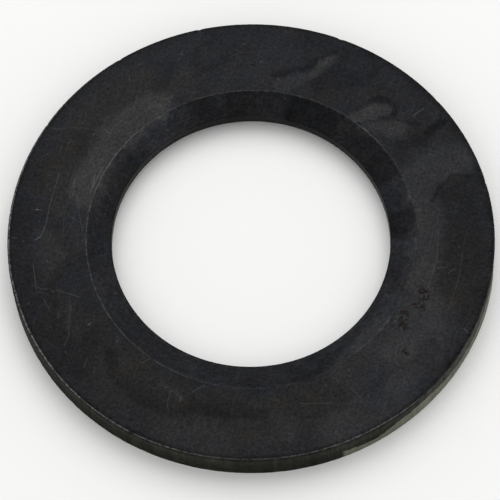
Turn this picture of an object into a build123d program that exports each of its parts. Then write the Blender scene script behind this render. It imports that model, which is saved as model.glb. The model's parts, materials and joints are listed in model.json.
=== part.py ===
# Heavy flat washer, punched from steel plate, bored through and countersunk on both faces.
# It lies on its lower face: Z = 0 is the plane it rests on and the bore runs along +Z.
from build123d import *
import os

# Ring: across the rim, from the rim in to the bore (which leaves a 43 mm hole), and thick
outer_diameter = 75.0
ring_width = 16.0
thickness = 5.0

# Countersinks, the same on both faces: how far they run out from the bore and how deep they go
countersink_width = 4.0
countersink_depth = 1.6

# Rim as the punching tool leaves it: the upper face rolls over gently towards the edge,
# the upper part of the wall is cut square, and the lower part breaks away a little inwards
roll_over_width = 1.0
roll_over_depth = 0.18
broken_height = 2.2
broken_draft = 0.05

# Small roundings of the edges
rim_rounding = 0.2
mouth_rounding = 0.8
bore_rounding = 0.15
foot_rounding = 0.08

outer_radius = outer_diameter / 2
bore_radius = outer_radius - ring_width
mouth_radius = bore_radius + countersink_width
foot_radius = outer_radius - broken_draft

# Washer: half of its section, turned once round the axis of the bore
with BuildPart() as washer:
    with BuildSketch(Plane.XZ) as section:
        with BuildLine() as outline:
            rest_face = Line((mouth_radius, 0), (foot_radius, 0))
            broken_wall = Line(rest_face @ 1, (outer_radius, broken_height))
            cut_wall = Line(broken_wall @ 1, (outer_radius, thickness - roll_over_depth))
            roll_over = TangentArc(
                (outer_radius - roll_over_width, thickness), cut_wall @ 1, tangent=(1, 0)
            )
            upper_face = Line(roll_over @ 0, (mouth_radius, thickness))
            upper_countersink = Line(upper_face @ 1, (bore_radius, thickness - countersink_depth))
            bore_wall = Line(upper_countersink @ 1, (bore_radius, countersink_depth))
            lower_countersink = Line(bore_wall @ 1, rest_face @ 0)
        make_face()

        # Corners of the section, from the bore outwards
        for corner, rounding in (
            (upper_countersink @ 1, bore_rounding),
            (bore_wall @ 1, bore_rounding),
            (upper_face @ 1, mouth_rounding),
            (rest_face @ 0, mouth_rounding),
            (cut_wall @ 1, rim_rounding),
            (rest_face @ 1, foot_rounding),
        ):
            fillet(section.vertices().sort_by_distance(corner)[0], rounding)
    revolve(axis=Axis.Z)

washer.part.label = "washer"

os.makedirs("parts", exist_ok=True)
export_step(washer.part, "parts/washer.step")
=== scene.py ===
import json

import bpy
import numpy as np
from math import radians
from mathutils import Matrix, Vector, noise


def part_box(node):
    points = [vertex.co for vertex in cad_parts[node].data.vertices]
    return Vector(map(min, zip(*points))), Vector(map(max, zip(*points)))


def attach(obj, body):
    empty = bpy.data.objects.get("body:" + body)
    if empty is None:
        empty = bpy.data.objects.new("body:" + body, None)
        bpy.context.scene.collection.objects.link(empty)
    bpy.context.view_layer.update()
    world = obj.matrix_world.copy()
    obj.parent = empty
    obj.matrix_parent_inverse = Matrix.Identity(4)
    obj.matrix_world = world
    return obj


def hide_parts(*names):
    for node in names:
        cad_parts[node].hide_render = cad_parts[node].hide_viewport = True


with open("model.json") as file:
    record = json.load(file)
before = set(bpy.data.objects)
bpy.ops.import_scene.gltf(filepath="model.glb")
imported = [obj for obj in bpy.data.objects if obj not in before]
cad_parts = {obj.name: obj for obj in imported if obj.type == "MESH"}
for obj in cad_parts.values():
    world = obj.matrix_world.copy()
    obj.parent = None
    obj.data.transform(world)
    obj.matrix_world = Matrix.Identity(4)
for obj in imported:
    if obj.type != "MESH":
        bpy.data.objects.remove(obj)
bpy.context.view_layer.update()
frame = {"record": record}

# Washer. One heavy ring of plate steel, punched out, bored through and countersunk on both faces,
# then blackened. The same piece carries the square cut and torn bands that the punch leaves on the
# wall, the rolled-over upper edge, and the knocks of use. It takes the place of the plain CAD ring.
MM = 0.001
_, ring_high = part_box("washer")
bore_radius = next(m for m in frame["record"]["mounts"] if m["name"] == "bore")["dims"]["r_mm"]
rim_radius = ring_high.x / MM
thickness = ring_high.z / MM
countersink_width = 4.0
countersink_depth = 1.6
mouth_radius = bore_radius + countersink_width
mid_face_radius = 31.0
rolled_width = 0.55
rolled_depth = 0.2
torn_inset = 0.02

# Corners of the section: radius, height, rounding, steps round the corner, steps to the next one
section_corners = [
    (rim_radius, thickness - rolled_depth, 0.2, 5, 15),
    (rim_radius - torn_inset, 0.0, 0.08, 2, 14),
    (mouth_radius, 0.0, 0.8, 3, 6),
    (bore_radius, countersink_depth, 0.15, 3, 4),
    (bore_radius, thickness - countersink_depth, 0.15, 3, 12),
    (mouth_radius, thickness, 0.8, 4, 36),
    (rim_radius - rolled_width, thickness, 2.6, 5, 1),
]
steps_round = 880


def sample_section(corners):
    """Points round the closed section: each corner is an arc between its two straight runs."""
    arcs = []
    for k, (radius, height, rounding, arc_steps, run_steps) in enumerate(corners):
        here = np.array([radius, height])
        back = np.array(corners[k - 1][:2]) - here
        ahead = np.array(corners[(k + 1) % len(corners)][:2]) - here
        back, ahead = back / np.linalg.norm(back), ahead / np.linalg.norm(ahead)
        half_angle = np.arccos(np.clip(back @ ahead, -1, 1)) / 2
        reach = rounding / np.tan(half_angle)
        s = np.linspace(0, 1, arc_steps + 1)[:, None]
        start, end = here + back * reach, here + ahead * reach
        arcs.append(((1 - s) ** 2 * start + 2 * s * (1 - s) * here + s ** 2 * end, run_steps))
    points = []
    for k, (arc, run_steps) in enumerate(arcs):
        run_end = arcs[(k + 1) % len(arcs)][0][0]
        run = np.linspace(arc[-1], run_end, run_steps + 1)[1:-1]
        points += [arc, run]
    return np.concatenate(points)


def fractal(points, size, octaves=3):
    """Smooth random value from about -1 to 1 at each point in mm; its largest lumps are size mm."""
    return np.array([noise.fractal(Vector(p / size), 0.6, 2.0, octaves) for p in points])


section = sample_section(section_corners)
section_count = len(section)
tangent = np.roll(section, -1, 0) - np.roll(section, 1, 0)
outward = np.stack([-tangent[:, 1], tangent[:, 0]], 1)
outward /= np.linalg.norm(outward, axis=1)[:, None]
azimuth = np.arange(steps_round) * 2 * np.pi / steps_round
az = np.degrees(azimuth)
az = np.where(az > 180, az - 360, az)
radius = np.repeat(section[:, :1], steps_round, 1)
height = np.repeat(section[:, 1:], steps_round, 1)
turn = np.repeat(azimuth[None, :], section_count, 0)
spot = np.stack([radius * np.cos(turn), radius * np.sin(turn), height], -1)
flat_spot = spot.reshape(-1, 3)
upper = height > thickness / 2

# The upper countersink was drilled a little off centre, towards the front and right. The cone
# leans over to it from the bore, and the face is drawn along for a few millimetres.
follow_width = 3.0
from_mouth = radius - mouth_radius
follows = np.where(from_mouth < 0, 1 + from_mouth / countersink_width, 1 - from_mouth / follow_width)
follows = np.clip(follows, 0, 1) * upper
off_centre = np.stack([0.15 * follows, -0.25 * follows, 0 * follows], -1)

# The torn band covers the lower part of the wall. Its upper edge wanders, and at the front right
# it stands higher, flares out a little and has lost its black skin.
torn_edge_az = [-180, -100, -70, -66, -61, -58, -54, -46, -42, -36, -30, -20, 8, 20, 180]
torn_edge_height = [2.2, 2.2, 2.3, 1.8, 1.5, 2.4, 2.9, 3.1, 2.6, 2.2, 2.2, 2.5, 2.6, 2.2, 2.2]
jagged = fractal(np.stack([np.cos(azimuth), np.sin(azimuth), 0 * azimuth], 1) * rim_radius, 1.6)
torn_top = np.interp(az, torn_edge_az, torn_edge_height) + 0.3 * jagged
wall_reach, wall_fade, torn_fade = 0.16, 0.08, 0.15
wall = np.clip((radius - rim_radius + wall_reach) / wall_fade, 0, 1)
torn = wall * np.clip((torn_top - height) / torn_fade, 0, 1)
flare_height = 3.6
flare = np.interp(az, [-92, -84, -66, -46, -30, -22, -12, -4, 0],
                  [0, 0.05, 0.12, 0.16, 0.24, 0.3, 0.27, 0.08, 0])
flare = flare * np.clip(1 - height / flare_height, 0, 1)

# How far wear, grain and tearing sink the surface, in mm
grain = fractal(flat_spot, 1.3).reshape(radius.shape)
waves = fractal(flat_spot, 8.0).reshape(radius.shape)
scoring = fractal(flat_spot * [1, 1, 0.12], 0.7).reshape(radius.shape)
sunk = 0.006 * (1 + waves) + 0.004 * (1 + grain)
sunk += (wall - torn) * 0.012 * (1 + scoring)
sunk += torn * (0.01 + 0.025 * (1 + grain))
sunk -= wall * flare

# Knocks on the upper rim and on the mouth of the countersink: azimuth, half width in degrees, depth
rim_knocks = [(-168, 0.5, 0.1), (-156, 0.4, 0.07), (-143, 0.7, 0.1), (-132, 0.4, 0.06),
              (-120.2, 0.5, 0.28), (-108, 0.5, 0.08), (-99, 0.4, 0.06), (-84, 0.8, 0.07),
              (-73, 0.6, 0.1), (-64.6, 0.7, 0.16), (-55, 0.4, 0.1), (-38.2, 0.5, 0.3),
              (-29, 0.4, 0.12), (12, 0.5, 0.1), (37, 0.4, 0.07), (66, 0.6, 0.1), (101, 0.4, 0.12),
              (122, 0.5, 0.08), (147, 0.4, 0.1), (172, 0.5, 0.08)]
mouth_knocks = [(-157, 0.9, 0.05), (-121, 0.7, 0.06), (-37, 0.9, 0.08), (-30, 0.7, 0.06),
                (13.5, 0.9, 0.1), (34, 0.8, 0.07), (42, 0.7, 0.12), (47, 1.1, 0.16),
                (61, 0.8, 0.07), (123, 0.9, 0.1), (131, 0.7, 0.06), (140, 0.7, 0.1),
                (149, 0.9, 0.08), (157, 1.4, 0.12)]
rim_corner = (rim_radius, thickness - rolled_depth)
mouth_corner = (mouth_radius, thickness)
to_rim_corner = np.hypot(radius - rim_corner[0], height - rim_corner[1])
to_mouth_corner = np.hypot(radius - mouth_corner[0], height - mouth_corner[1])
for knocks, distance, spread in ((rim_knocks, to_rim_corner, 0.4),
                                 (mouth_knocks, to_mouth_corner, 0.25)):
    for knock_az, half_width, depth in knocks:
        sunk += depth * np.exp(-((az - knock_az) / half_width) ** 2 - (distance / spread) ** 2)

outward_round = np.stack([outward[:, :1] * np.cos(turn), outward[:, :1] * np.sin(turn),
                          outward[:, 1:] + 0 * turn], -1)
vertices = (spot + off_centre - outward_round * sunk[..., None]).reshape(-1, 3)
vertices[:, 2] = np.clip(vertices[:, 2], 0, thickness)
ring = np.arange(section_count * steps_round).reshape(section_count, steps_round)
onward = np.roll(ring, -1, 0)
faces = np.stack([ring, onward, np.roll(onward, -1, 1), np.roll(ring, -1, 1)], -1).reshape(-1, 4)

washer_mesh = bpy.data.meshes.new("worn_washer")
washer_mesh.from_pydata(vertices * MM, [], faces.tolist())
washer_mesh.polygons.foreach_set("use_smooth", np.ones(len(faces), bool))
washer = bpy.data.objects.new("worn_washer", washer_mesh)
bpy.context.scene.collection.objects.link(washer)

# Marks on the upper side, each a stroke: half width in mm, strength, and the points that it runs
# through as azimuth and radius. Stains are the darker tide lines and blots of old oil, besides one
# line of painted shade along the back of the rim.
stains = [
    (0.15, 0.44, [(14.6, 35.9), (15.5, 34), (16.2, 32.5), (14, 31), (12, 29.8), (9.5, 28.6)]),
    (1.0, 0.19, [(12, 35), (13, 33), (11, 31.4)]),
    (0.35, 0.5, [(31, 35.9), (31, 34), (30.4, 32.6)]),
    (0.5, 0.28, [(30.2, 32), (29.4, 30), (30.4, 28.6), (32, 27.8)]),
    (1.3, 0.1, [(28, 30.5), (28, 28)]),
    (0.12, 0.32, [(34, 32.3), (36.6, 31.2), (39.6, 30), (42, 29.2), (44.4, 27.6), (46, 26.6)]),
    (0.25, 0.48, [(41.2, 30.4), (42.6, 31.3), (45.6, 31.8), (48, 31), (49.2, 29.5), (50.6, 27.6)]),
    (0.25, 0.22, [(50.6, 27.6), (52.8, 26), (53.5, 25.7)]),
    (0.4, 0.19, [(53.7, 36), (54, 33.8)]),
    (0.9, 0.18, [(64.2, 34.8), (63.4, 32.5), (64, 30), (66, 28)]),
    (0.25, 0.34, [(65.2, 34.8), (68, 33.2), (70.4, 31.5), (72.4, 30.1), (77.4, 29), (81, 28.2)]),
    (0.3, 0.19, [(103, 33.6), (103.6, 32), (104.2, 31)]),
    (0.4, 0.19, [(111, 32.5), (113.4, 31), (115.8, 29.8)]),
    (0.5, 0.28, [(-138.6, 29.1), (-134.4, 30.6), (-130.2, 31.4), (-120, 32), (-112.8, 32),
                 (-110.4, 30.8), (-108, 30), (-99.6, 30.4), (-94.8, 29.8), (-88, 30.2)]),
    (0.8, 0.16, [(-131, 31), (-122, 31.2)]),
    (0.8, 0.12, [(-108, 29.6), (-96, 29.3)]),
    (0.5, 0.22, [(-172, 28.8), (-168, 30.7), (-164.4, 31.8), (-160, 32)]),
    (1.8, 0.18, [(-166, 36), (-150, 34.6), (-143, 34)]),
    (1.6, 0.16, [(172, 36.2), (184, 36), (192, 35.4)]),
    (1.6, 0.16, [(-22, 35.4), (-12, 34.6), (-6, 34)]),
    (2.4, 0.16, [(-17, 32.5), (-9, 31.5), (2, 32), (8, 33)]),
    (1.0, 0.12, [(-2, 28.4), (6, 28)]),
    (0.35, 0.26, [(-76, 25.3), (-68, 24.8), (-60, 23.8), (-52, 22.9), (-42, 22.4), (-30, 22.3)]),
    (0.8, 0.26, [(-40.5, 33.4), (-37, 33)]),
    (0.5, 0.22, [(66, 31), (60, 29.4)]),
    (0.4, 0.22, [(98, 30.4), (106, 29.4)]),
    (0.5, 0.18, [(93, 33.2), (96, 31)]),
    (0.8, 0.19, [(-148, 29.5), (-143, 31.5)]),
    (0.6, 0.18, [(164, 33.8), (158, 35)]),
    (0.8, 0.2, [(141, 30.2), (149, 30)]),
    # painted shade along the back of the rim, where it rolls over
    (0.3, 0.25, [(2, 36.8), (30, 36.8), (58, 36.8)]),
    (1.0, 0.2, [(58, 31.6), (66, 30.6)]),
]
# Rubs are where the black skin has been polished thin by what slid over it
rubs = [
    (1.4, 0.46, [(122, 27.2), (132, 27.2), (146, 27), (162, 26.6)]),
    (2.6, 0.02, [(118, 28.6), (130, 29.4), (166, 28)]),
    (0.9, 0.1, [(170, 26.6), (180, 26.8)]),
    (1.2, 0.12, [(180, 31.4), (186, 30.6)]),
    (2.2, 0.3, [(-42, 30.6), (-34, 30.6), (-30, 29)]),
    (1.2, 0.12, [(-30, 33.6), (-26, 32)]),
    (0.9, 0.3, [(-53, 34), (-48, 33.8)]),
    (1.3, 0.22, [(-38, 30.6), (-34, 30)]),
    (0.8, 0.1, [(-110, 34.2), (-105, 33)]),
    (1.2, 0.08, [(-94, 33), (-83, 33)]),
    (0.7, 0.3, [(143, 26.2), (150, 26), (159, 25.9)]),
    (0.25, 0.14, [(-118, 28.4), (-112.6, 29.4)]),
    (2.0, 0.14, [(-58, 28), (-44, 27.4), (-30, 26.8)]),
    (1.4, 0.3, [(-20, 27), (-8, 27), (6, 26.8), (14, 27)]),
    (1.6, 0.26, [(20, 34.2), (21, 31), (18, 28.4), (17, 26.8)]),
    (0.7, 0.24, [(37, 29.4), (40, 28.2), (44, 26.6)]),
    (0.6, 0.35, [(45.5, 30.4), (47.4, 28.5), (49.6, 26.6)]),
    (0.3, 0.4, [(65.7, 33.8), (67.6, 31.6), (69.4, 29.8)]),
    (0.6, 0.2, [(71.2, 29), (75.6, 27.6), (79, 26.6)]),
    (1.4, 0.2, [(-70, 35), (-60, 34.6), (-52, 35)]),
    (1.6, 0.09, [(-112, 34.6), (-100, 35)]),
    (3.0, 0.05, [(82, 31), (92, 30), (103, 30)]),
    (2.2, 0.06, [(112, 33), (124, 32.6), (150, 31.4), (166, 31)]),
    (1.2, 0.08, [(108, 29), (116, 29)]),
]
rusts = [
    (0.3, 1.0, [(-42.4, 30.9), (-42.2, 30.5)]),
    (0.15, 0.8, [(-36, 28.7), (-35.8, 28.3)]),
    (0.42, 1.0, [(-36.4, 27.8), (-34.6, 27.3), (-33.8, 27)]),
    (0.4, 1.0, [(-32.8, 27.4), (-31.8, 27), (-31.4, 26.6)]),
    (0.42, 1.0, [(-27.8, 28.8), (-27.4, 27.6)]),
    (0.3, 0.9, [(-25.2, 28.8), (-25, 28)]),
    (0.5, 1.0, [(-24, 28.6), (-22.8, 28.2), (-22, 27.6)]),
]

# Blue is the thicker oxide along the rim, on the countersink and in some patches of the face
blues = [
    (0.8, 0.8, [(0, 36.2), (90, 36.2), (180, 36.2)]),
    (0.8, 0.5, [(180, 36.2), (270, 36.2), (360, 36.2)]),
    (2.0, 0.95, [(58, 34), (80, 33), (110, 34)]),
    (1.2, 0.8, [(160, 23.6), (200, 23.6), (240, 23.6), (280, 23.6), (300, 23.6)]),
    (1.4, 0.7, [(20, 34), (21, 31), (20, 28), (16, 27)]),
    (2.4, 0.8, [(-54, 33), (-44, 33), (-36, 31), (-32, 29)]),
    (0.8, 0.7, [(71.2, 29), (75.6, 27.6), (79, 26.6)]),
    (1.0, 0.6, [(46, 30), (48, 28)]),
    (1.0, 0.8, [(170, 27), (190, 27.4), (204, 27.6)]),
    (1.6, 0.7, [(172, 35), (184, 35.2), (196, 35)]),
    (1.2, 0.8, [(300, 23.6), (326, 23.6), (350, 23.6)]),
    (1.2, 0.7, [(-10, 23.6), (30, 23.6), (60, 23.6), (84, 23.6), (104, 23.6)]),
    (1.5, 0.5, [(60, 33.5), (50, 34), (40, 34.5)]),
    (1.2, 0.7, [(106, 23.6), (130, 23.6), (158, 23.6)]),
    (2.0, 0.6, [(4, 31), (16, 31.4), (30, 30.6), (46, 31.6), (58, 31)]),
    (1.0, 0.6, [(10, 27), (40, 27.4), (80, 27.4), (110, 27.6)]),
]


def brush(strokes, softness, wander):
    """Strength at every point of the ring of strokes drawn on its upper side."""
    painted = np.flatnonzero(upper)
    near = flat_spot[painted]
    shift = [fractal(near + [offset, 0, 0], 3.0, 2) for offset in (0, 50)]
    near = near[:, :2] + wander * np.stack(shift, 1)
    total = np.zeros(len(flat_spot))
    for half_width, strength, path in strokes:
        path_az, path_radius = np.array(path, float).T
        count = 40 * len(path)
        along = np.linspace(0, len(path) - 1, count)
        a = np.radians(np.interp(along, range(len(path)), path_az))
        q = np.interp(along, range(len(path)), path_radius)
        gap = np.full(len(near), 1e9)
        for x, y in zip(q * np.cos(a), q * np.sin(a)):
            gap = np.minimum(gap, np.hypot(near[:, 0] - x, near[:, 1] - y))
        fade = np.clip(1 - (gap - half_width) / (softness * (half_width + 0.15)), 0, 1)
        fade = strength * fade * fade * (3 - 2 * fade)
        total[painted] = np.maximum(total[painted], fade)
    return total


# The upper countersink is darker and lighter round its cone: painted light and shade, with some
# darker stained stretches. Azimuth, and how bright against its mean
cone_az = [-180, -160, -142, -128, -112, -100, -80, -66, -54, -38, -24, -20, -14, -4, -1, 8, 11, 21,
           24, 33, 38, 52, 54, 66, 73.6, 74.6, 80, 89, 91, 97, 99, 108, 113, 119, 124, 138, 142, 150,
           160, 180]
cone_light_and_stain_levels = [1.3, 1.45, 1.3, 1.1, 1.4, 1.2, 1.18, 1.15, 1.75, 1.85, 1.5, 1.3, 1.5, 1.85, 1.0,
               0.9, 1.5, 1.45, 1.1, 0.95, 1.2, 1.2, 0.9, 0.85, 0.75, 1.1, 1.3, 1.25, 1.0, 0.92,
               1.15, 1.0, 1.35, 1.65, 1.95, 1.65, 1.2, 1.2, 1.12, 1.22]
on_cone = (radius < mouth_radius - 0.1) & upper
cone_az_wander = az + 1.2 * fractal(flat_spot, 1.5).reshape(radius.shape)
cone_light_and_stain = np.where(on_cone, np.interp(cone_az_wander, cone_az, cone_light_and_stain_levels), 1.0)

# Painted light on the wall, changing round it and brighter towards its upper edge, with a painted
# shade line just under that edge
wall_light_and_shade = np.interp(az, [-180, -150, -66, -50, -40, -30, -10, 5, 180],
                        [1.1, 1.0, 1.0, 0.9, 1.0, 1.3, 1.2, 1.0, 1.0])
wall_light_and_shade = wall_light_and_shade * (1.2 + 0.65 * np.clip((height - 2.4) / 2, 0, 1))
wall_light_and_shade = wall_light_and_shade * (1 - 0.35 * np.exp(-((height - thickness + 0.4) / 0.2) ** 2))

# Bright lines along the two edges of the upper face, by azimuth: wear, and on the rim also a
# painted highlight on its rounded edge. At the left the bright line of the rim is wider and lies
# further in.
mouth_wear_az = [-180, -165, -120, -112, -80, -66, -58, -22, 4, 12, 30, 42, 48, 58, 72, 100, 112,
                 124, 138, 156, 164, 180]
mouth_wear = [0.5, 0.4, 0.45, 0.25, 0.1, 0.1, 0.0, 0.0, 0.05, 0.2, 0.3, 0.9, 0.9, 0.3, 0.4, 0.5,
              0.4, 0.5, 0.7, 0.7, 0.4, 0.5]
rim_wear_and_highlight_az = [-180, -172, -150, -128, -112, -96, -76, -68, -50, -34, -20, 0, 110, 125, 150, 180]
rim_wear_and_highlight = [0.55, 0.6, 0.7, 0.6, 0.4, 0.3, 0.3, 0.45, 0.45, 0.4, 0.4, 0.15, 0.1, 0.4, 0.7, 0.8]
rim_line_in = np.interp(az, [-180, -172, -167, -156, -143, -120, -95, -60, -48, -36, 120, 150, 180],
                        [0.2, 0.2, 0.3, 0.26, 0.23, 0.22, 0.34, 0.32, 0.1, 0.05, 0.08, 0.15, 0.2])
rim_line_wide = np.interp(az, [-180, -150, -125, 130, 160, 180], [1.6, 1.6, 1.0, 1.0, 1.4, 1.6])
by_mouth = radius < mid_face_radius
mouth_wear_share = 0.34
line_wear_and_highlight = np.where(by_mouth, mouth_wear_share * np.interp(az, mouth_wear_az, mouth_wear),
                     np.interp(az, rim_wear_and_highlight_az, rim_wear_and_highlight)) * upper
from_line = np.where(by_mouth, from_mouth, (radius - rim_radius + rim_line_in) / rim_line_wide)

# The black skin is gone from the torn band at the front right, and painted shade darkens the rolled
# edge
bared = torn * np.interp(az, [-70.4, -69.6, -14, 20], [0, 1, 1, 0])
rolled = 0.12 * np.clip((radius - rim_radius + 1.1) / 0.5, 0, 1) * upper

layers = {
    # stains, with the painted shade of the rolled edge
    "stained_and_rim_shade": np.maximum(brush(stains, 1.1, 0.35), rolled.ravel()),
    "rubbed": brush(rubs, 1.6, 0.8),
    "rusted": brush(rusts, 0.8, 0.25),
    "blued": brush(blues, 2.0, 1.6),
    "line_wear_and_highlight": line_wear_and_highlight.ravel(),
    "from_line": from_line.ravel(),
    "bared": bared.ravel(),
    "cut": wall.ravel(),
    # painted light and shade on the countersink and the wall, with the countersink's stains
    "painted_light_and_stains": (cone_light_and_stain * (1 + wall * (wall_light_and_shade - 1))).ravel(),
}
for layer, values in layers.items():
    washer_mesh.attributes.new(layer, "FLOAT", "POINT").data.foreach_set("value", values)


def linear(hex_colour):
    """An sRGB hex colour as the linear RGBA that a node takes."""
    parts = [int(hex_colour[k:k + 2], 16) / 255 for k in (1, 3, 5)]
    return [c / 12.92 if c <= 0.04045 else ((c + 0.055) / 1.055) ** 2.4 for c in parts] + [1]


def add(tree, kind, inputs=(), **settings):
    """A new node with its settings; inputs are values, sockets, or nodes whose first output is used."""
    made = tree.nodes.new(kind)
    for name, value in settings.items():
        setattr(made, name, value)
    for slot, value in dict(inputs).items():
        if isinstance(value, bpy.types.Node):
            value = value.outputs[0]
        if isinstance(value, bpy.types.NodeSocket):
            tree.links.new(value, made.inputs[slot])
        else:
            made.inputs[slot].default_value = value
    return made


# Black oxide on mill-finished steel: a thin dark skin, chemically blackened, that lets the metal's
# own soft shine through. It is blue-black where thick, brownish where old oil has dried on it,
# and grey where it has rubbed thin.
oxide = bpy.data.materials.new("black_oxide_steel")
oxide.use_nodes = True
tree = oxide.node_tree
tree.nodes.clear()
place = add(tree, "ShaderNodeTexCoord").outputs["Object"]
in_mm = add(tree, "ShaderNodeVectorMath", {0: place, "Scale": 1 / MM}, operation="SCALE")
read = {layer: add(tree, "ShaderNodeAttribute", attribute_name=layer).outputs["Fac"]
        for layer in layers}

# Patterns, each with its size in mm. The grain is really half as wide, drawn as coarse as shows.
cloud_size, tint_size, grain_size, pit_size = 6.0, 5.0, 0.5, 0.9
lathe_ring_size, streak_size, hair_width = 0.35, 0.8, 0.2
dot_size, break_size, crumb_size = 1.7, 0.8, 0.55
clouds = add(tree, "ShaderNodeTexNoise", {"Vector": in_mm, "Scale": 1 / cloud_size, "Detail": 6.0,
                                          "Roughness": 0.85})
tints = add(tree, "ShaderNodeTexNoise", {"Vector": in_mm, "Scale": 1 / tint_size, "Detail": 5.0,
                                         "Roughness": 0.85})
grains = add(tree, "ShaderNodeTexNoise", {"Vector": in_mm, "Scale": 1 / grain_size, "Detail": 2.0,
                                          "Roughness": 0.8})
pits = add(tree, "ShaderNodeTexVoronoi", {"Vector": in_mm, "Scale": 1 / pit_size})

blue_lean = add(tree, "ShaderNodeMath", {0: read["blued"], 1: 0.22}, operation="MULTIPLY")
patch = add(tree, "ShaderNodeMath", {0: tints, 1: blue_lean}, operation="SUBTRACT")
patch = add(tree, "ShaderNodeMapRange", {0: patch, 1: 0.25, 2: 0.6})
skin = add(tree, "ShaderNodeMix", {0: patch, 6: linear("#1c1d20"), 7: linear("#201f1e")},
           data_type="RGBA")
bare_share = add(tree, "ShaderNodeMapRange", {0: read["rubbed"], 1: 0.1, 2: 0.5})
skin = add(tree, "ShaderNodeMix", {0: bare_share, 6: skin.outputs[2], 7: linear("#1c1c1c")},
           data_type="RGBA")
skin = add(tree, "ShaderNodeMix", {0: read["cut"], 6: skin.outputs[2], 7: linear("#292925")},
           data_type="RGBA")

# Fine marks that run one way: the lathe's rings on the countersink, the punch's streaks down the
# wall, and faint hairlines over the face, three ways
flat = add(tree, "ShaderNodeVectorMath", {0: in_mm, 1: (1, 1, 0)}, operation="MULTIPLY")
from_axis = add(tree, "ShaderNodeVectorMath", {0: flat}, operation="LENGTH").outputs["Value"]
rings = add(tree, "ShaderNodeTexNoise", {"W": from_axis, "Scale": 1 / lathe_ring_size, "Detail": 1.0},
            noise_dimensions="1D")
rings = add(tree, "ShaderNodeMapRange", {0: rings, 1: 0.3, 2: 0.7, 3: 0.92, 4: 1.08})
upright = add(tree, "ShaderNodeVectorMath", {0: in_mm, 1: (1, 1, 0.1)}, operation="MULTIPLY")
streaks = add(tree, "ShaderNodeTexNoise", {"Vector": upright, "Scale": 1 / streak_size,
                                           "Detail": 2.0})
streaks = add(tree, "ShaderNodeMapRange", {0: streaks, 1: 0.3, 2: 0.7, 3: 0.82, 4: 1.18})
turned = add(tree, "ShaderNodeMapRange", {0: read["from_line"], 1: 0.0, 2: -0.1})
turned = add(tree, "ShaderNodeMath", {0: turned, 1: add(tree, "ShaderNodeMath", {
    0: from_axis, 1: mouth_radius + 0.5}, operation="LESS_THAN")}, operation="MULTIPLY")
directed = add(tree, "ShaderNodeMix", {0: turned, 2: 1.0, 3: rings})
directed = add(tree, "ShaderNodeMix", {0: read["cut"], 2: directed, 3: streaks})
for slant, length, threshold in ((0.3, 5.0, 0.62), (-1.1, 3.5, 0.64), (1.2, 3.0, 0.64)):
    slanted = add(tree, "ShaderNodeVectorRotate", {"Vector": in_mm, "Angle": slant},
                  rotation_type="Z_AXIS")
    slanted = add(tree, "ShaderNodeVectorMath", {0: slanted, 1: (1 / hair_width, 1 / length, 0)},
                  operation="MULTIPLY")
    hairs = add(tree, "ShaderNodeTexNoise", {"Vector": slanted, "Scale": 1.0, "Detail": 0.0})
    hairs = add(tree, "ShaderNodeMapRange", {0: hairs, 1: threshold, 2: threshold + 0.12,
                                             3: 1.0, 4: 1.22})
    directed = add(tree, "ShaderNodeMath", {0: directed, 1: hairs}, operation="MULTIPLY")

# Shade of the skin: clouds, grain, marks, painted light and shade, rubs and stains multiply it
cloud_shade = add(tree, "ShaderNodeMapRange", {0: clouds, 1: 0.3, 2: 0.7, 3: 0.66, 4: 1.34})
grain_shade = add(tree, "ShaderNodeMapRange", {0: grains, 1: 0.25, 2: 0.75, 3: 0.58, 4: 1.42})
stain_and_rim_shade = add(tree, "ShaderNodeMapRange", {0: read["stained_and_rim_shade"], 3: 1.0, 4: 0.15})
rub_shade = add(tree, "ShaderNodeMapRange", {0: read["rubbed"], 3: 1.0, 4: 3.25})
shade = add(tree, "ShaderNodeMath", {0: cloud_shade, 1: grain_shade}, operation="MULTIPLY")
for share in (directed, read["painted_light_and_stains"], stain_and_rim_shade, rub_shade):
    shade = add(tree, "ShaderNodeMath", {0: shade, 1: share}, operation="MULTIPLY")
skin = add(tree, "ShaderNodeVectorMath", {0: skin.outputs[2], "Scale": shade}, operation="SCALE")

# A scratch: strongest on the line from one point to another, in mm, and fading to nothing at half
# width. What it hands on is a point seen from above, with the strongest scratch so far as its Z.
scratch_group = bpy.data.node_groups.new("scratch", "ShaderNodeTree")
for name, kind in (("Carried", "NodeSocketVector"), ("Start", "NodeSocketVector"),
                   ("Reach", "NodeSocketVector"), ("Half width", "NodeSocketFloat"),
                   ("Strength", "NodeSocketFloat")):
    scratch_group.interface.new_socket(name, in_out="INPUT", socket_type=kind)
scratch_group.interface.new_socket("Carried", in_out="OUTPUT", socket_type="NodeSocketVector")
given = add(scratch_group, "NodeGroupInput").outputs
parted = add(scratch_group, "ShaderNodeSeparateXYZ", {0: given["Carried"]}).outputs
above = add(scratch_group, "ShaderNodeCombineXYZ", {0: parted["X"], 1: parted["Y"]})
offset = add(scratch_group, "ShaderNodeVectorMath", {0: above, 1: given["Start"]},
             operation="SUBTRACT")
covered = add(scratch_group, "ShaderNodeVectorMath", {0: offset, 1: given["Reach"]},
              operation="DOT_PRODUCT").outputs["Value"]
squared = add(scratch_group, "ShaderNodeVectorMath", {0: given["Reach"], 1: given["Reach"]},
              operation="DOT_PRODUCT").outputs["Value"]
share = add(scratch_group, "ShaderNodeMath", {0: covered, 1: squared}, operation="DIVIDE",
            use_clamp=True)
nearest = add(scratch_group, "ShaderNodeVectorMath", {0: given["Reach"], "Scale": share},
              operation="SCALE")
gap = add(scratch_group, "ShaderNodeVectorMath", {0: offset, 1: nearest},
          operation="DISTANCE").outputs["Value"]
line = add(scratch_group, "ShaderNodeMapRange", {0: gap, 2: given["Half width"],
                                                 3: given["Strength"], 4: 0.0})
strongest = add(scratch_group, "ShaderNodeMath", {0: parted["Z"], 1: line}, operation="MAXIMUM")
carried = add(scratch_group, "ShaderNodeCombineXYZ", {0: parted["X"], 1: parted["Y"], 2: strongest})
add(scratch_group, "NodeGroupOutput", {"Carried": carried})

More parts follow.
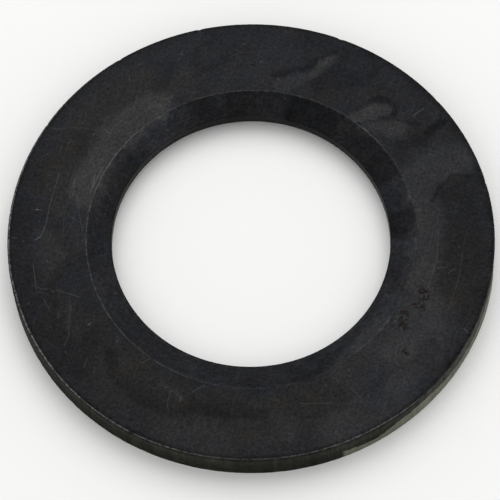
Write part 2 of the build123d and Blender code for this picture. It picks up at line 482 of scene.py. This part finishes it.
# Scratches on the upper face: half width in mm, strength, and the points as azimuth and radius
scratches = [
    (0.09, 0.10, [(158.4, 31.65), (168, 31.5), (174, 31.6), (177, 31.9), (178.8, 32.4)]),
    (0.12, 0.16, [(178.8, 32.4), (179.7, 33.2)]),
    (0.08, 0.04, [(158.4, 29.1), (171, 29.05), (180, 28.95), (188, 28.9)]),
    (0.16, 0.30, [(170.7, 33.4), (170.7, 33.2)]),
    (0.10, 0.07, [(170.9, 34), (170.6, 32.4)]),
    (0.10, 0.10, [(178.8, 36.9), (179, 36)]),
    (0.09, 0.10, [(-173.4, 33.7), (-166.2, 33.95)]),
    (0.09, 0.08, [(-167.7, 34.5), (-165.6, 33.1), (-165, 31.8)]),
    (0.09, 0.07, [(-165.3, 33.8), (-163.5, 32.5)]),
    (0.10, 0.08, [(-164.4, 31.2), (-162, 29.5), (-159.6, 28.1)]),
    (0.09, 0.08, [(-162.9, 33.3), (-159, 33.1)]),
    (0.10, 0.07, [(-158.1, 29.8), (-154.2, 31), (-150, 32.4), (-148.2, 33.8)]),
    (0.09, 0.08, [(-157.8, 32), (-156, 32.4)]),
    (0.09, 0.08, [(-141.6, 32.2), (-140, 33.5)]),
    (0.13, 0.16, [(-150, 29), (-150.2, 28.5)]),
    (0.11, 0.16, [(-157.2, 22.9), (-157, 22.6)]),
    (0.09, 0.08, [(-116.4, 28.8), (-115.5, 31), (-114.6, 31.6)]),
    (0.12, 0.11, [(-112.5, 29.8), (-112.7, 29.1)]),
    (0.09, 0.10, [(-110, 27.7), (-107, 26.1)]),
    (0.09, 0.08, [(-129, 27.1), (-127.8, 25.8)]),
    (0.09, 0.08, [(-77.1, 29.2), (-74.4, 29.6), (-68.4, 30.7)]),
    (0.09, 0.08, [(-61.5, 30), (-60.6, 32)]),
    (0.09, 0.07, [(-63.6, 28), (-64.8, 26.7)]),
    (0.09, 0.08, [(-58.8, 28), (-58.9, 26.9)]),
    (0.10, 0.12, [(-28.8, 37), (-28.2, 36)]),
    (0.09, 0.06, [(-23.4, 32.6), (-15, 32.65), (-7.8, 32.6)]),
    (0.10, 0.08, [(-12.6, 31.8), (-14.4, 30.9)]),
    (0.09, 0.07, [(-12.6, 30.6), (-13.5, 29.2)]),
    (0.09, 0.07, [(-20.4, 28.55), (-10, 28.8), (-1.2, 28.9)]),
    (0.09, 0.06, [(1.8, 28.8), (4.5, 28.9)]),
    (0.17, 0.08, [(37.2, 34.8), (37.2, 32.8)]),
    (0.09, 0.08, [(122.7, 34), (123.6, 33.3)]),
    (0.09, 0.08, [(146.4, 35), (147.3, 36.2)]),
    (0.09, 0.08, [(139.5, 29.5), (139.5, 28.2)]),
    (0.09, 0.08, [(101.1, 37.1), (101.1, 36.5)]),
    (0.08, 0.05, [(114.6, 27.35), (124, 27.38), (133.2, 27.35)]),
    (0.10, 0.07, [(157.8, 25.1), (159.3, 23.7), (162, 22.4)]),
    (0.08, 0.07, [(152.2, 24.7), (154.8, 25.5)]),
    (0.09, 0.16, [(151, 25.9), (156, 25.8), (160, 25.9)]),
    (0.08, 0.14, [(154.4, 26.4), (158.6, 26), (162, 25.9)]),
    (0.08, 0.06, [(148.1, 29.4), (151, 27.8), (153.5, 26.4)]),
    (0.08, 0.06, [(158.5, 29), (165, 28.4)]),
    (0.08, 0.06, [(171.1, 28.6), (173, 27), (174.4, 26)]),
    (0.08, 0.05, [(164.3, 27.7), (171, 26.6), (177.2, 25.9)]),
    (0.08, 0.04, [(147.4, 36.1), (143.4, 33), (139.6, 28.5)]),
    (0.08, 0.05, [(-178, 29.4), (-172.5, 29.1)]),
    (0.08, 0.05, [(-159.8, 29.6), (-151.8, 32.2)]),
    (0.10, 0.11, [(-37.2, 24.9), (-37.5, 24.7)]),
    (0.11, 0.11, [(-35.4, 31.1), (-35.7, 30.9)]),
    (0.11, 0.11, [(-48.6, 34.1), (-48.9, 33.9)]),
    (0.11, 0.11, [(154.5, 34.8), (154.3, 34.6)]),
]
carried = flat
for half_width, strength, path in scratches:
    points = [Vector((q * np.cos(radians(a)), q * np.sin(radians(a)), 0)) for a, q in path]
    for start, end in zip(points, points[1:]):
        line = add(tree, "ShaderNodeGroup", node_tree=scratch_group)
        tree.links.new(carried.outputs[0], line.inputs["Carried"])
        for slot, value in (("Start", start), ("Reach", end - start), ("Half width", half_width),
                            ("Strength", strength)):
            line.inputs[slot].default_value = value
        carried = line
parted = add(tree, "ShaderNodeSeparateXYZ", {0: in_mm}).outputs
upper_side = add(tree, "ShaderNodeMath", {0: parted["Z"], 1: thickness / 2}, operation="GREATER_THAN")
scratched = add(tree, "ShaderNodeSeparateXYZ", {0: carried}).outputs["Z"]
scratched = add(tree, "ShaderNodeMath", {0: scratched, 1: upper_side}, operation="MULTIPLY")

# Bare steel shows in the scratches and in a few single nicks
dots = add(tree, "ShaderNodeTexVoronoi", {"Vector": in_mm, "Scale": 1 / dot_size})
chosen = add(tree, "ShaderNodeMapRange", {0: dots.outputs["Color"], 1: 0.72, 2: 0.74, 4: 0.08})
dots = add(tree, "ShaderNodeMapRange", {0: dots, 1: 0.12, 2: 0.05, 4: chosen})
scratched = add(tree, "ShaderNodeMath", {0: scratched, 1: dots}, operation="MAXIMUM")
skipping = add(tree, "ShaderNodeMath", {0: scratched, 1: cloud_shade}, operation="MULTIPLY",
               use_clamp=True)

# The two edges of the upper face are worn to a hair line that comes and goes, and on the rim
# it is also a painted highlight
edge_gap = add(tree, "ShaderNodeMath", {0: read["from_line"]}, operation="ABSOLUTE")
edge_line = add(tree, "ShaderNodeMapRange", {0: edge_gap, 1: 0.03, 2: 0.13, 3: 1.0, 4: 0.0})
broken = add(tree, "ShaderNodeTexNoise", {"Vector": in_mm, "Scale": 1 / break_size, "Detail": 4.0,
                                          "Roughness": 0.9})
broken = add(tree, "ShaderNodeMapRange", {0: broken, 1: 0.4, 2: 0.62, 3: 0.05, 4: 1.0})
edge_wear_and_highlight = add(tree, "ShaderNodeMath", {0: read["line_wear_and_highlight"], 1: broken}, operation="MULTIPLY")
edge_wear_and_highlight = add(tree, "ShaderNodeMath", {0: edge_wear_and_highlight, 1: edge_line}, operation="MULTIPLY")
shown = add(tree, "ShaderNodeMath", {0: skipping, 1: edge_wear_and_highlight}, operation="MAXIMUM")
# bare steel colour in scratches, nicks and worn edges, and as painted highlight along the rim
bare = add(tree, "ShaderNodeMix", {0: shown, 6: skin, 7: linear("#8b8c8d")}, data_type="RGBA")

# The torn band at the front right is bare and dull, and rust sits on the face in dark crumbs
torn_skin = add(tree, "ShaderNodeVectorMath", {0: linear("#7e7e72")[:3], "Scale": streaks},
                operation="SCALE")
bare = add(tree, "ShaderNodeMix", {0: read["bared"], 6: bare.outputs[2], 7: torn_skin},
           data_type="RGBA")
crumbs = add(tree, "ShaderNodeTexNoise", {"Vector": in_mm, "Scale": 1 / crumb_size, "Detail": 2.0,
                                          "Roughness": 0.7})
specks = add(tree, "ShaderNodeMapRange", {0: crumbs, 1: 0.46, 2: 0.54})
rust_share = add(tree, "ShaderNodeMath", {0: read["rusted"], 1: specks}, operation="MULTIPLY",
                 use_clamp=True)
core = add(tree, "ShaderNodeMapRange", {0: crumbs, 1: 0.52, 2: 0.66})
rust = add(tree, "ShaderNodeMix", {0: core, 6: linear("#121010"), 7: linear("#251b18")},
           data_type="RGBA")
rusty = add(tree, "ShaderNodeMix", {0: rust_share, 6: bare.outputs[2], 7: rust.outputs[2]},
            data_type="RGBA")

# The skin shines softly, the cut wall hardly at all, and fine pits and grain break up both
relief_depth = 0.025
roughness = add(tree, "ShaderNodeMapRange", {0: clouds, 1: 0.3, 2: 0.7, 3: 0.38, 4: 0.52})
roughness = add(tree, "ShaderNodeMix", {0: read["cut"], 2: roughness, 3: 0.8})
relief = add(tree, "ShaderNodeMath", {0: grains, 1: pits}, operation="ADD")
bump = add(tree, "ShaderNodeBump", {"Height": relief, "Distance": relief_depth * MM, "Strength": 1.0})
shader = add(tree, "ShaderNodeBsdfPrincipled", {
    "Base Color": rusty.outputs[2], "Metallic": 1.0, "Roughness": roughness, "Normal": bump,
    "Specular Tint": linear("#dcdcd9")})
add(tree, "ShaderNodeOutputMaterial", {"Surface": shader})
washer_mesh.materials.append(oxide)

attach(washer, "root")
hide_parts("washer")

# Table under the washer: a matt white sheet, wide enough to fill every view, and a hair lower
# than the washer's lower face so that the two never show through each other.
sheet_size = 12.0
sheet_drop = 0.02
floor_mesh = bpy.data.meshes.new("white_table")
half = sheet_size / 2
floor_mesh.from_pydata([(-half, -half, 0), (half, -half, 0), (half, half, 0), (-half, half, 0)], [],
                       [(0, 1, 2, 3)])
floor = bpy.data.objects.new("white_table", floor_mesh)
floor.location.z = -sheet_drop * MM
bpy.context.scene.collection.objects.link(floor)
matt_white = bpy.data.materials.new("matt_white_paper")
matt_white.use_nodes = True
paper = matt_white.node_tree.nodes["Principled BSDF"]
paper.inputs["Base Color"].default_value = linear("#f7f7f6")
paper.inputs["Roughness"].default_value = 0.9
paper.inputs["Specular IOR Level"].default_value = 0.1
floor_mesh.materials.append(matt_white)

# Studio light: an even pale room, and one wide softbox above and behind, which the upper face
# mirrors softly. The side towards the camera is left without a lamp.
world = bpy.data.worlds.new("pale_room")
world.use_nodes = True
room = world.node_tree.nodes["Background"]
room.inputs["Color"].default_value = linear("#ffffff")
room.inputs["Strength"].default_value = 0.76
bpy.context.scene.world = world


def softbox(name, direction, distance, size, radiance):
    """A square lamp facing the washer, as bright to look at as a surface of that radiance."""
    lamp = bpy.data.lights.new(name, "AREA")
    lamp.shape = "SQUARE"
    lamp.size = size
    lamp.energy = radiance * np.pi * size ** 2
    made = bpy.data.objects.new(name, lamp)
    side, rise = radians(direction[0]), radians(direction[1])
    towards = Vector((np.cos(side) * np.cos(rise), np.sin(side) * np.cos(rise), np.sin(rise)))
    made.location = towards * distance
    made.rotation_euler = towards.to_track_quat("Z", "Y").to_euler()
    made.visible_camera = False
    bpy.context.scene.collection.objects.link(made)


softbox("softbox_behind", (84, 58), 1.4, 1.3, 1.45)

# Camera: a long lens looking down at the washer from the front, tilted a little, as in the photo.
aim = Vector((-0.206, -2.72, thickness)) * MM
camera_elevation, camera_tilt, camera_distance = 64.0, -1.82, 0.439
camera_data = bpy.data.cameras.new("camera")
camera_data.lens = 206.2
camera_data.sensor_width = 36.0
camera = bpy.data.objects.new("camera", camera_data)
camera.rotation_euler = (radians(90 - camera_elevation), 0, 0)
rise = radians(camera_elevation)
camera.location = aim + camera_distance * Vector((0, -np.cos(rise), np.sin(rise)))
camera.rotation_euler.rotate_axis("Z", radians(camera_tilt))
bpy.context.scene.collection.objects.link(camera)
bpy.context.scene.camera = camera
bpy.context.scene.view_settings.view_transform = "Standard"
